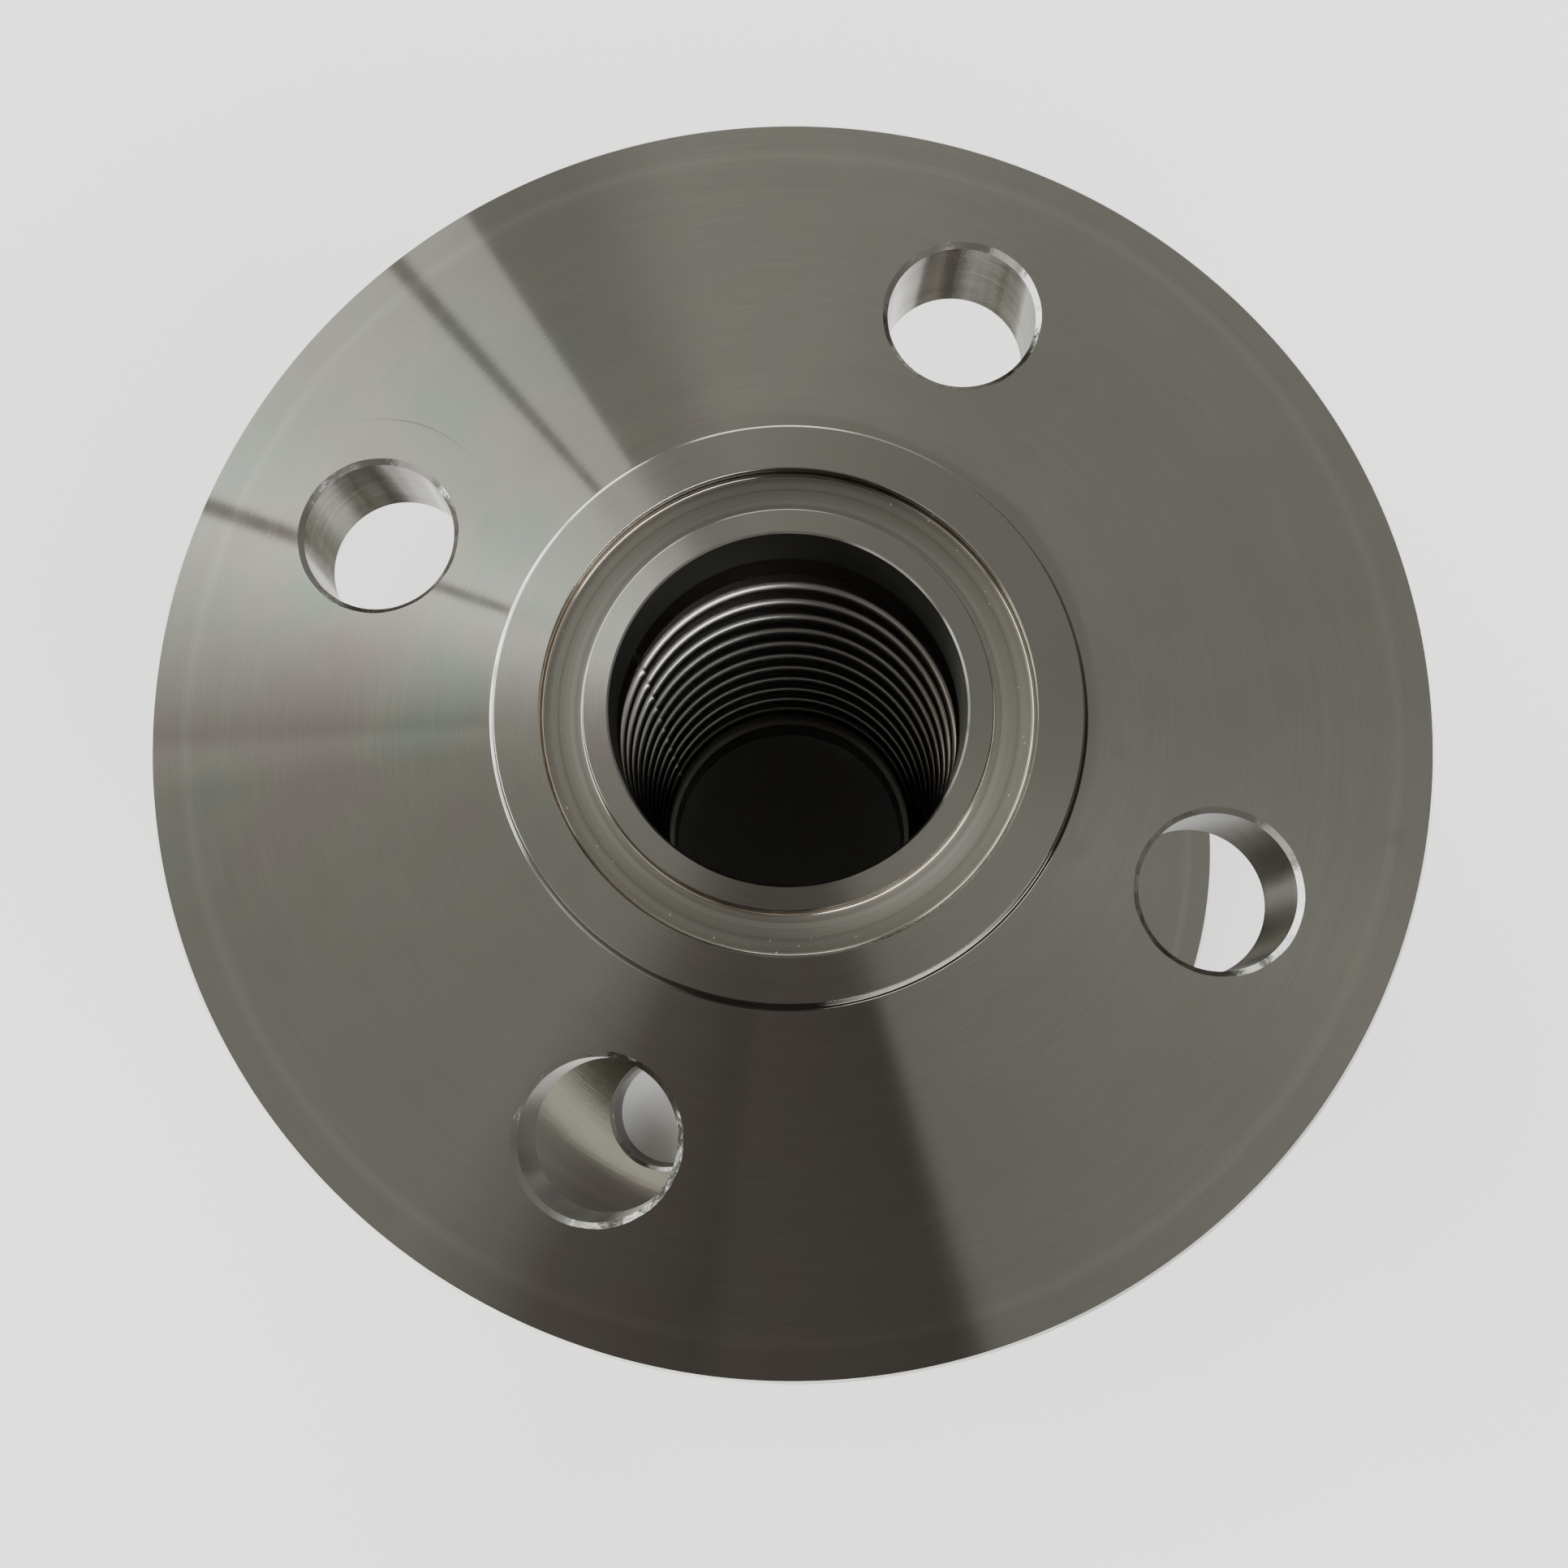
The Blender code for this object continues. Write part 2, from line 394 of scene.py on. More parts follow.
def face_marks(nodes, base, radius, cloud):
    """What use and handling left on the face: see the list of marks at the top."""
    ring = nodes.maths("MULTIPLY", band(nodes, radius, RIM_MARK_RADIUS, RIM_MARK_WIDTH), 0.4)
    base = nodes.mix(ring, base, (0.56, 0.55, 0.50))
    for distance, angle, reach in SMUDGES:
        away = level_distance(nodes, face_point(distance, angle))
        ragged = nodes.maths("MULTIPLY_ADD", cloud, 9.0 * MM, away)
        smudge = nodes.maths("MULTIPLY", band(nodes, ragged, 0.0, reach + 4.5 * MM), 0.8)
        base = nodes.mix(smudge, base, (0.29, 0.28, 0.255))
    from_hole = level_distance(nodes, face_point(*WASHER_PLACE))
    washer = band(nodes, from_hole, WASHER_RADIUS, WASHER_LINE)
    washer = nodes.maths("MULTIPLY", washer, near_place(nodes, WASHER_MARK_PLACE, WASHER_MARK_REACH))
    base = nodes.mix(washer, base, (0.20, 0.19, 0.17))
    ragged = nodes.maths("MULTIPLY_ADD", cloud, 6.0 * MM, radius)
    wiped = edge_ramp(nodes, ragged, (WIPED_RADIUS, 1.0), (WIPED_RADIUS + 0.6 * MM, 0.0))
    side = nodes.maths("MULTIPLY", near_place(nodes, WIPED_PLACE, WIPED_REACH), 2.6, clamp=True)
    return nodes.mix(nodes.maths("MULTIPLY", wiped, side), base, (0.385, 0.375, 0.34))


def turned_face_material(name, anisotropy, roughness):
    """A turned level face: fine concentric marks that draw each reflection out into a spoke."""
    nodes = start_material(name)
    radius = nodes.radius()
    fine = nodes.noise(radius, 2600.0, 0.0, 0.5, "1D")
    coarse = nodes.noise(radius, 420.0, 3.0, 0.55, "1D")
    cloud = nodes.noise(nodes.position(), 26.0, 4.0, 0.55)
    base = face_steel(nodes, coarse, cloud)
    base = face_marks(nodes, base, radius, cloud)
    speck = dust(nodes, 9.0 * MM, 0.13 * MM, 0.4)
    base = nodes.mix(speck, base, (0.85, 0.84, 0.80))
    nodes.set(Base_Color=base, Metallic=1.0, Anisotropic=anisotropy, Anisotropic_Rotation=ACROSS_MARKS)
    rough = nodes.maths("MULTIPLY_ADD", coarse, 0.02, roughness)
    nodes.set(Roughness=nodes.maths("ADD", rough, nodes.maths("MULTIPLY", speck, 0.4)))
    nodes.set(Tangent=nodes.radial_tangent())
    marks = nodes.maths("MULTIPLY_ADD", fine, 0.5, coarse)
    nodes.set(Normal=nodes.bump(marks, 0.005 * MM, 0.35))
    return nodes.owner


def turned_wall_material(name, base, roughness, mark_scale, mark_depth):
    """A bored or turned wall: marks run level round it, a little uneven in depth."""
    nodes = start_material(name)
    _, _, height = nodes.split(nodes.position())
    marks = nodes.noise(height, mark_scale, 3.0, 0.65, "1D")
    cloud = nodes.noise(nodes.position(), 90.0, 3.0, 0.5)
    light = tuple(channel * 1.15 for channel in base)
    nodes.set(Base_Color=nodes.mix(cloud, base, light), Metallic=1.0)
    nodes.set(Anisotropic=0.8, Anisotropic_Rotation=ACROSS_MARKS)
    nodes.set(Tangent=nodes.radial_tangent())
    nodes.set(Roughness=nodes.maths("MULTIPLY_ADD", cloud, 0.08, roughness))
    nodes.set(Normal=nodes.bump(marks, mark_depth, 0.8))
    return nodes.owner


def drilled_wall_material():
    """A drilled bolt hole: level scratches from the drill, and upright bands of painted reflection and
    shade.
    """
    nodes = start_material("drilled_wall")
    position = nodes.position()
    x, y, _ = nodes.split(position)
    off = BOLT_CIRCLE_RADIUS * math.cos(FIRST_BOLT_ANGLE)
    across = nodes.maths("SUBTRACT", nodes.maths("ABSOLUTE", x), off)
    along = nodes.maths("SUBTRACT", nodes.maths("ABSOLUTE", y), off)
    # a number that differs between the four holes, so that no two have the same bands
    hole = nodes.maths("MULTIPLY", nodes.maths("SIGN", y), 0.09)
    hole = nodes.maths("MULTIPLY_ADD", nodes.maths("SIGN", x), 0.035, hole)
    upright = nodes.add("ShaderNodeCombineXYZ", {"X": across, "Y": along, "Z": hole}).outputs[0]
    painted_bands = nodes.noise(upright, 62.0, 2.0, 0.45)
    flattened = (1.0, 1.0, 26.0)
    squashed = nodes.add("ShaderNodeVectorMath", {0: position, 1: flattened}, operation="MULTIPLY")
    scratch = nodes.noise(squashed.outputs[0], 75.0, 4.0, 0.65)
    # painted reflection and shade: the bands run from black through dark and bright to dim
    black, dark = (0.045, 0.041, 0.036), (0.20, 0.185, 0.165)
    bright, dim = (0.66, 0.64, 0.60), (0.13, 0.12, 0.105)
    band_colour = nodes.ramp(painted_bands, [(0.37, black), (0.46, dark), (0.54, bright), (0.62, dim)])
    streak = nodes.ramp(scratch, [(0.35, 0.72), (0.65, 1.15)])
    nodes.set(Base_Color=nodes.mix(1.0, band_colour, streak, "MULTIPLY"), Metallic=1.0)
    nodes.set(Anisotropic=0.9, Anisotropic_Rotation=ACROSS_MARKS, Roughness=0.25)
    nodes.set(Tangent=along_marks(nodes))
    nodes.set(Normal=nodes.bump(scratch, 0.05 * MM, 0.8))
    return nodes.owner


def groove_material():
    """The seal groove's floor: rings from a coarser cut, and specks of grit against its outer wall."""
    nodes = start_material("turned_groove")
    radius = nodes.radius()
    marks = nodes.noise(radius, 2600.0, 2.0, 0.6, "1D")
    rings = nodes.noise(radius, 900.0, 3.0, 0.6, "1D")
    cloud = nodes.noise(nodes.position(), 160.0, 4.0, 0.6)
    dark, middle, light = (0.31, 0.295, 0.26), (0.41, 0.40, 0.36), (0.52, 0.51, 0.465)
    base = nodes.ramp(rings, [(0.34, dark), (0.50, middle), (0.64, light)])
    base = nodes.mix(nodes.maths("MULTIPLY", cloud, 0.5), base, (0.38, 0.355, 0.31))
    for angle, reach, depth in GROOVE_DARK_SIDES:
        darkening = near_place(nodes, (GROOVE_OUTER_RADIUS, angle), reach)
        base = nodes.mix(nodes.maths("MULTIPLY", darkening, depth), base, (0.05, 0.047, 0.04))
    outer = edge_ramp(nodes, radius, (24.3 * MM, 0.0), (26.2 * MM, 1.0))
    grit = nodes.maths("MULTIPLY", dust(nodes, 0.8 * MM, 0.10 * MM, 0.5), outer)
    patch = nodes.ramp(nodes.noise(nodes.position(), 55.0, 2.0, 0.5), [(0.44, 0.0), (0.50, 1.0)])
    grit = nodes.maths("MULTIPLY", grit, patch)
    nodes.set(Base_Color=nodes.mix(grit, base, (0.90, 0.88, 0.82)), Metallic=1.0)
    nodes.set(Anisotropic=0.6, Anisotropic_Rotation=ACROSS_MARKS, Roughness=0.40)
    nodes.set(Tangent=nodes.radial_tangent())
    nodes.set(Normal=nodes.bump(marks, 0.02 * MM, 0.8))
    return nodes.owner


def edge_material():
    """Chamfers broken by hand: bright facets of uneven width and tilt."""
    nodes = start_material("deburred_edge")
    position = nodes.position()
    wobble = nodes.noise(position, 420.0, 3.0, 0.6)
    facets = nodes.add("ShaderNodeTexVoronoi", {"Vector": position, "Scale": 260.0}).outputs["Distance"]
    height = nodes.maths("MULTIPLY_ADD", wobble, 0.5, facets)
    nodes.set(Base_Color=(0.62, 0.61, 0.58, 1.0), Metallic=1.0, Roughness=0.14)
    nodes.set(Normal=nodes.bump(height, 0.25 * MM, 0.6))
    return nodes.owner


def polished_step_material(name, base, place, reach, depth):
    """Narrow turned fillets and chamfers, bright as a mirror but for painted shade on one side."""
    nodes = start_material(name)
    wobble = nodes.noise(nodes.position(), 300.0, 2.0, 0.5)
    streak = nodes.ramp(turned_streaks(nodes, 3000.0, 5.0), [(0.36, 0.80), (0.62, 1.12)])
    # painted shade: one side is darkened towards near black, by this depth
    side = nodes.maths("MULTIPLY", near_place(nodes, place, reach), 1.8, clamp=True)
    colour = nodes.mix(nodes.maths("MULTIPLY", side, depth), base, (0.05, 0.048, 0.042))
    nodes.set(Base_Color=nodes.mix(1.0, colour, streak, "MULTIPLY"), Metallic=1.0, Roughness=0.09)
    nodes.set(Normal=nodes.bump(wobble, 0.02 * MM, 0.5))
    return nodes.owner


def seam_line(nodes, x, y):
    """One along the sheet's lengthwise seam, falling to nothing beside it."""
    cosine, sine = math.cos(SEAM_AZIMUTH), math.sin(SEAM_AZIMUTH)
    off = nodes.maths("SUBTRACT", nodes.maths("MULTIPLY", y, cosine), nodes.maths("MULTIPLY", x, sine))
    away = level_distance(nodes, (ROOT_RADIUS * cosine, ROOT_RADIUS * sine, 0.0))
    same_side = nodes.maths("LESS_THAN", away, ROOT_RADIUS)
    return nodes.maths("MULTIPLY", band(nodes, off, 0.0, 0.45 * MM), same_side)


def bellows_material():
    """Thin formed sheet. Inside, its welds' heat tinted each end, one side has painted shade, the seam is
    bright.
    """
    nodes = start_material("bellows_sheet")
    position = nodes.position()
    cloud = nodes.noise(position, 60.0, 4.0, 0.55)
    grain = nodes.noise(position, 700.0, 2.0, 0.5)
    base = nodes.mix(cloud, (0.50, 0.497, 0.485), (0.58, 0.577, 0.565))
    x, y, height = nodes.split(position)
    from_top = nodes.maths("SUBTRACT", UPPER_BACK_Z, height)
    from_bottom = nodes.maths("SUBTRACT", height, LOWER_BACK_Z)
    inside = edge_ramp(nodes, nodes.radius(), (21.5 * MM, 1.0), (24.5 * MM, 0.0))
    near_top = edge_ramp(nodes, from_top, (0.0, 1.0), (20.0 * MM, 0.0))
    near_top = nodes.maths("MULTIPLY", near_top, inside)
    near_bottom = edge_ramp(nodes, from_bottom, (0.0, 1.0), (6.0 * MM, 0.0))
    near_bottom = nodes.maths("MULTIPLY", near_bottom, inside)
    base = nodes.mix(near_top, base, (0.52, 0.47, 0.44))
    base = nodes.mix(near_bottom, base, (0.36, 0.32, 0.285))
    # painted shade: one side of the sheet's inside is darkened
    painted_shade = nodes.maths("MULTIPLY", near_place(nodes, SHEET_PAINTED_SHADE_PLACE, SHEET_PAINTED_SHADE_REACH), 0.9)
    base = nodes.mix(nodes.maths("MULTIPLY", painted_shade, inside), base, (0.14, 0.12, 0.10))
    base = nodes.mix(nodes.maths("MULTIPLY", seam_line(nodes, x, y), inside), base, (0.95, 0.94, 0.92))
    nodes.set(Base_Color=base, Metallic=1.0)
    nodes.set(Roughness=nodes.maths("MULTIPLY_ADD", near_bottom, 0.20, 0.26))
    nodes.set(Normal=nodes.bump(grain, 0.0015 * MM, 0.5))
    return nodes.owner


def weld_material():
    """A fillet weld bead with heat colours that fade from straw to blue across it."""
    nodes = start_material("weld_bead")
    radius = nodes.radius()
    cloud = nodes.noise(nodes.position(), 240.0, 3.0, 0.6)
    across = nodes.maths("SUBTRACT", radius, COLLAR_OUTER_RADIUS)
    along = nodes.maths("DIVIDE", across, WELD_REACH)
    place = nodes.maths("ADD", along, nodes.maths("MULTIPLY", cloud, 0.25))
    steel, straw = (0.46, 0.44, 0.42), (0.44, 0.36, 0.26)
    brown, blue = (0.36, 0.28, 0.25), (0.29, 0.30, 0.335)
    heat = nodes.ramp(place, [(0.0, steel), (0.45, straw), (0.75, brown), (1.0, blue)])
    nodes.set(Base_Color=heat, Metallic=1.0, Roughness=0.34)
    nodes.set(Normal=nodes.bump(cloud, 0.05 * MM, 0.6))
    return nodes.owner


def floor_material():
    nodes = start_material("studio_floor")
    nodes.set(Base_Color=(0.86, 0.86, 0.85, 1.0), Roughness=0.85)
    return nodes.owner


# ---------------------------------------------------------------------- pieces


def with_support(points, reach=0.04 * MM):
    """The closed outline, with a point added just before and after each corner of a long run."""
    result = []
    count = len(points)
    for i, (r, z) in enumerate(points):
        r2, z2 = points[(i + 1) % count]
        length = math.hypot(r2 - r, z2 - z)
        result.append((r, z))
        if length > 6 * reach:
            for share in (reach / length, 1 - reach / length):
                result.append((r + (r2 - r) * share, z + (z2 - z) * share))
    return result


def flange_outline():
    """Half section of a flange with its back at z = 0, with every edge broken or rounded."""
    disc = -DISC_THICKNESS
    seal = disc - FACE_HEIGHT
    floor = seal + GROOVE_DEPTH
    foot = 0.32 * MM
    small = 0.12 * MM
    corner = 0.5 * MM
    outer = GROOVE_OUTER_RADIUS
    inner = GROOVE_INNER_RADIUS
    points = [
        (COUNTERBORE_RADIUS, 0.0),
        (FLANGE_RADIUS - RIM_CHAMFER, 0.0),
        (FLANGE_RADIUS, -RIM_CHAMFER),
        (FLANGE_RADIUS, disc + RIM_CHAMFER),
        (FLANGE_RADIUS - RIM_CHAMFER, disc),
    ]
    step = FACE_RADIUS + FACE_STEP_SLOPE
    points += arc((step + foot, disc - foot), foot, 90.0, 165.0, 6)
    points += arc((FACE_RADIUS - small, seal + small), small, 345.0, 270.0, 4)
    points += arc((outer + small, seal + small), small, 270.0, 200.0, 3)
    points += arc((outer - corner, floor - corner), corner, 0.0, 90.0, 5)
    points += arc((inner + corner, floor - corner), corner, 90.0, 180.0, 5)
    points += arc((inner - small, seal + small), small, -20.0, -90.0, 3)
    points += [
        (BORE_RADIUS + BORE_CHAMFER, seal),
        (BORE_RADIUS, seal + BORE_CHAMFER),
        (BORE_RADIUS, -COUNTERBORE_DEPTH),
        (COUNTERBORE_RADIUS, -COUNTERBORE_DEPTH),
    ]
    return with_support(points)


def drill_bit(name, angle, wall, edge):
    """A drill through the disc that also chamfers both edges, a little unevenly."""
    past = 1.5 * MM
    wide = BOLT_HOLE_RADIUS + BOLT_HOLE_CHAMFER
    outline = [
        (wide + past, past),
        (BOLT_HOLE_RADIUS, -BOLT_HOLE_CHAMFER),
        (BOLT_HOLE_RADIUS, BOLT_HOLE_CHAMFER - DISC_THICKNESS),
        (wide + past, -DISC_THICKNESS - past),
    ]
    bm = bmesh.new()
    rings = []
    for level, (radius, z) in enumerate(outline):
        ring = []
        for i in range(HOLE_SEGMENTS):
            turn = 2 * math.pi * (i + 0.37) / HOLE_SEGMENTS
            uneven = 0.0
            if level in (0, 3):
                uneven = 0.10 * math.sin(3 * turn + 5 * angle) + 0.07 * math.sin(11 * turn + 3 * angle)
            r = radius + uneven * MM
            ring.append(bm.verts.new((r * math.cos(turn), r * math.sin(turn), z)))
        rings.append(ring)
    for level, (here, there) in enumerate(zip(rings, rings[1:])):
        for i in range(HOLE_SEGMENTS):
            n = (i + 1) % HOLE_SEGMENTS
            side = bm.faces.new((here[i], here[n], there[n], there[i]))
            side.material_index = 0 if level == 1 else 1
    bm.faces.new(rings[0])
    bm.faces.new(rings[-1])
    bmesh.ops.recalc_face_normals(bm, faces=bm.faces)
    middle = Vector((math.cos(angle), math.sin(angle), 0.0)) * BOLT_CIRCLE_RADIUS
    bmesh.ops.translate(bm, verts=bm.verts, vec=middle)
    mesh = bpy.data.meshes.new(name)
    bm.to_mesh(mesh)
    bm.free()
    mesh.materials.append(wall)
    mesh.materials.append(edge)
    bit = bpy.data.objects.new(name, mesh)
    bpy.context.scene.collection.objects.link(bit)
    return bit


def paint_flange(obj, materials):
    """Gives each region of the turned blank its own finish, by where it lies."""
    for material in materials:
        obj.data.materials.append(material)
    near = 0.05 * MM
    past_edge = 0.03 * MM
    disc = -DISC_THICKNESS
    seal = disc - FACE_HEIGHT
    floor = seal + GROOVE_DEPTH
    for polygon in obj.data.polygons:
        x, y, z = polygon.center
        radius = math.hypot(x, y)
        level = abs(polygon.normal.z) > 0.98
        upright = abs(polygon.normal.z) < 0.1
        in_groove = GROOVE_INNER_RADIUS - past_edge < radius < GROOVE_OUTER_RADIUS + past_edge
        if level and abs(z - floor) < near:
            polygon.material_index = GROOVE
        elif in_groove and seal + near < z < disc + GROOVE_DEPTH:
            polygon.material_index = GROOVE_SIDE
        elif level and abs(z + COUNTERBORE_DEPTH) < near:
            polygon.material_index = WALL_FINISH
        elif level and radius < FACE_RADIUS:
            polygon.material_index = RAISED
        elif level:
            polygon.material_index = FACE
        elif upright:
            polygon.material_index = WALL_FINISH
        else:
            polygon.material_index = FILLET


def build_flange(name, upper, node, body, materials, bit_materials):
    obj = lathe(name, flange_outline(), even_angles(FACE_SEGMENTS))
    paint_flange(obj, materials)
    bits = []
    for i in range(BOLT_COUNT):
        angle = FIRST_BOLT_ANGLE + 2 * math.pi * i / BOLT_COUNT
        bit = drill_bit(f"{name}_bit_{i + 1}", angle, *bit_materials)
        cut = obj.modifiers.new("bolt_hole", "BOOLEAN")
        cut.operation = "DIFFERENCE"
        cut.solver = "EXACT"
        cut.material_mode = "TRANSFER"
        cut.object = bit
        bits.append(bit)
    apply_modifiers(obj)
    for bit in bits:
        bpy.data.objects.remove(bit, do_unlink=True)
    sharpen(obj)
    stand_at(obj, upper)
    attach(obj, body)
    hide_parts(node)


def bellows_line():
    """The middle of the sheet from one crest's middle to the next, as (radius, height) points.

    It starts and ends on a short level land, so that neighbouring stretches shade as one.
    """
    root = ROOT_RADIUS + WALL / 2
    crest = CREST_RADIUS - WALL / 2
    land = 0.15 * MM
    crest_bend = PITCH / 2 - ROOT_BEND - land
    points = [(crest, 0.0), (crest, land * 0.6)]
    points += arc((crest - crest_bend, land), crest_bend, 0.0, 90.0, 10)
    points += arc((root + ROOT_BEND, PITCH / 2), ROOT_BEND, 270.0, 90.0, 18)
    points += arc((crest - crest_bend, PITCH - land), crest_bend, -90.0, 0.0, 10)
    points += [(crest, PITCH - land * 0.6), (crest, PITCH)]
    return points


def thicken(line, wall):
    """The two faces of a sheet along an open line, half the wall to each side of it."""
    left, right = [], []
    for i, (r, z) in enumerate(line):
        before = line[max(i - 1, 0)]
        after = line[min(i + 1, len(line) - 1)]
        along = Vector((after[0] - before[0], after[1] - before[1])).normalized()
        side = Vector((-along.y, along.x)) * wall / 2
        left.append((r + side.x, z + side.y))
        right.append((r - side.x, z - side.y))
    return left, right


def bellows_angles():
    """Even steps round the ring, with fine ones at the seam weld."""
    angles = []
    fine = 2.2 * SEAM_WIDTH / ROOT_RADIUS
    for i in range(SHEET_SEGMENTS):
        angle = SEAM_AZIMUTH + math.pi + 2 * math.pi * i / SHEET_SEGMENTS
        if abs(math.remainder(angle - SEAM_AZIMUTH, 2 * math.pi)) > fine:
            angles.append(angle)
    steps = 16
    middle = [SEAM_AZIMUTH + 2 * math.pi - fine + 2 * fine * i / steps for i in range(steps + 1)]
    return sorted(angles + middle)


def seam_shape(inner_points):
    """Raises the sheet on both sides along its lengthwise seam weld."""

    def shape(angle, index):
        off = math.remainder(angle - SEAM_AZIMUTH, 2 * math.pi) * ROOT_RADIUS / SEAM_WIDTH
        lift = SEAM_HEIGHT * math.exp(-off * off * 4.0)
        return (-lift if index < inner_points else lift, 0.0)

    return shape


def build_bellows_stretch(name, line, z, nodes, material):
    """One stretch of the sheet, between two neighbouring bodies."""
    left, right = thicken(line, WALL)
    outline = left + right[::-1]
    obj = lathe(name, outline, bellows_angles(), seam_shape(len(left)))
    sharpen(obj, 50.0)
    obj.data.transform(Matrix.Translation((0.0, 0.0, z)))
    obj.data.materials.append(material)
    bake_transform(obj)
    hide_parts(*nodes)


def build_bellows(material):
    """Twelve stretches: one from each cuff to the first crest, and ten from crest to crest."""
    line = bellows_line()
    half = len(line) // 2
    first_root = LOWER_BACK_Z + CUFF_EXPOSED
    cuff_length = CUFF_EXPOSED - CUFF_END
    bend_start = 0.3 * MM
    root = ROOT_RADIUS + WALL / 2
    cuff = CUFF_RADIUS + WALL / 2
    for k in range(CONVOLUTIONS + 1):
        low_crest = first_root + (k - 0.5) * PITCH
        nodes = [f"convolution_{k:02d}"]
        part = line
        if k == 0:
            start = PITCH / 2 - cuff_length
            part = [
                (cuff, start),
                (cuff, start + cuff_length * 0.7),
                (root, start + cuff_length - bend_start),
            ]
            part += line[half:]
            nodes = ["lower_cuff"]
        if k == CONVOLUTIONS:
            stop = PITCH / 2 + cuff_length
            part = line[: len(line) - half]
            part += [
                (root, stop - cuff_length + bend_start),
                (cuff, stop - cuff_length * 0.7),
                (cuff, stop),
            ]
            nodes = [f"convolution_{k:02d}", "upper_cuff"]
        name = f"bellows_stretch_{k:02d}"
        build_bellows_stretch(name, part, low_crest, nodes, material)


def build_collar(name, upper, node, body, material):
    chamfer = 0.2 * MM
    points = [
        (COLLAR_INNER_RADIUS, CUFF_END),
        (COLLAR_OUTER_RADIUS, CUFF_END),
        (COLLAR_OUTER_RADIUS, COLLAR_EXPOSED - chamfer),
        (COLLAR_OUTER_RADIUS - chamfer, COLLAR_EXPOSED),
        (COLLAR_INNER_RADIUS + chamfer, COLLAR_EXPOSED),
        (COLLAR_INNER_RADIUS, COLLAR_EXPOSED - chamfer),
    ]
    obj = lathe(name, with_support(points, 0.02 * MM), even_angles(COLLAR_SEGMENTS))
    sharpen(obj)
    stand_at(obj, upper)
    obj.data.materials.append(material)
    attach(obj, body)
    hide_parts(node)


def build_weld(name, upper, node, body, material):
    """A rippled fillet bead: each puddle leaves a crescent that laps the one before."""
    inner = COLLAR_OUTER_RADIUS + 0.05 * MM
    foot = 0.02 * MM
    steps = 12
    outline = [(inner, foot)]
    for i in range(steps + 1):
        angle = math.pi / 2 * i / steps
        outline.append((inner + WELD_REACH * math.cos(angle), foot + WELD_HEIGHT * math.sin(angle)))

    def ripple(angle, index):
        if index == 0:
            return (0.0, 0.0)
        across = (index - 1) / steps
        lag = 0.9 * (across - 0.5) ** 2
        phase = (angle * WELD_RIPPLES / (2 * math.pi) + lag) % 1.0
        lift = 0.11 * MM * (phase - 0.5) * math.sin(math.pi * min(across + 0.15, 1.0))
        wander = 0.08 * MM * math.sin(angle * 7.0 + 1.3) + 0.05 * MM * math.sin(angle * 19.0)
        return (wander * (1.0 - across), lift)

    obj = lathe(name, outline, even_angles(WELD_RIPPLES * 8), ripple)
    sharpen(obj, 60.0)
    stand_at(obj, upper)
    obj.data.materials.append(material)
    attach(obj, body)
    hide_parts(node)


# ----------------------------------------------------------------------- stage


def build_floor():
    mesh = bpy.data.meshes.new("floor")
    bm = bmesh.new()
    bmesh.ops.create_grid(bm, x_segments=1, y_segments=1, size=FLOOR_SIZE)
    bm.to_mesh(mesh)
    bm.free()
    mesh.materials.append(floor_material())
    obj = bpy.data.objects.new("floor", mesh)
    bpy.context.scene.collection.objects.link(obj)


def view_direction(angle, polar):
    """A direction from the face: angle in degrees clockwise from the view's right, polar from up."""
    azimuth = VIEW_RIGHT_AZIMUTH - math.radians(angle)
    tilt = math.radians(polar)
    level = math.sin(tilt)
    return Vector((level * math.cos(azimuth), level * math.sin(azimuth), math.cos(tilt)))


def area_light(name, place, aim, size, power):
    lamp = bpy.data.lights.new(name, "AREA")
    lamp.shape = "RECTANGLE"
    lamp.size, lamp.size_y = size
    lamp.energy = power
    obj = bpy.data.objects.new(name, lamp)
    obj.location = place
    obj.rotation_euler = (aim - place).to_track_quat("-Z", "Y").to_euler()
    obj.visible_camera = False
    bpy.context.scene.collection.objects.link(obj)


# The room round the object, as (angle clockwise from the view's right, radiance, tint) stops:
# overhead, which the level faces mirror, the window's share of it, and lower down, which edges,
# walls and the bellows mirror.
# A tall window with two bars stands to the upper left, and whoever holds the camera is below.
# The window has a ramp of its own, because a ramp that goes all the way round blurs narrow bars.
DAYLIGHT = (0.96, 1.0, 0.955)
ROOM = (1.0, 0.985, 0.925)
COAT = (1.0, 0.90, 0.84)
OVERHEAD = (
    (0.0, 0.31, ROOM),
    (25.0, 0.36, ROOM),
    (50.0, 0.315, ROOM),
    (66.0, 0.285, ROOM),
    (72.5, 0.275, ROOM),
    (75.0, 0.105, COAT),
    (90.0, 0.120, COAT),
    (96.0, 0.125, COAT),
    (98.0, 0.105, COAT),
    (113.0, 0.155, COAT),
    (118.0, 0.23, ROOM),
    (126.0, 0.32, ROOM),
    (160.0, 0.34, ROOM),
    (172.0, 0.38, ROOM),
    (186.0, 0.34, ROOM),
    (236.0, 0.31, ROOM),
    (248.0, 0.31, ROOM),
    (258.0, 0.40, ROOM),
    (276.0, 0.385, ROOM),
    (300.0, 0.33, ROOM),
    (360.0, 0.31, ROOM),
)
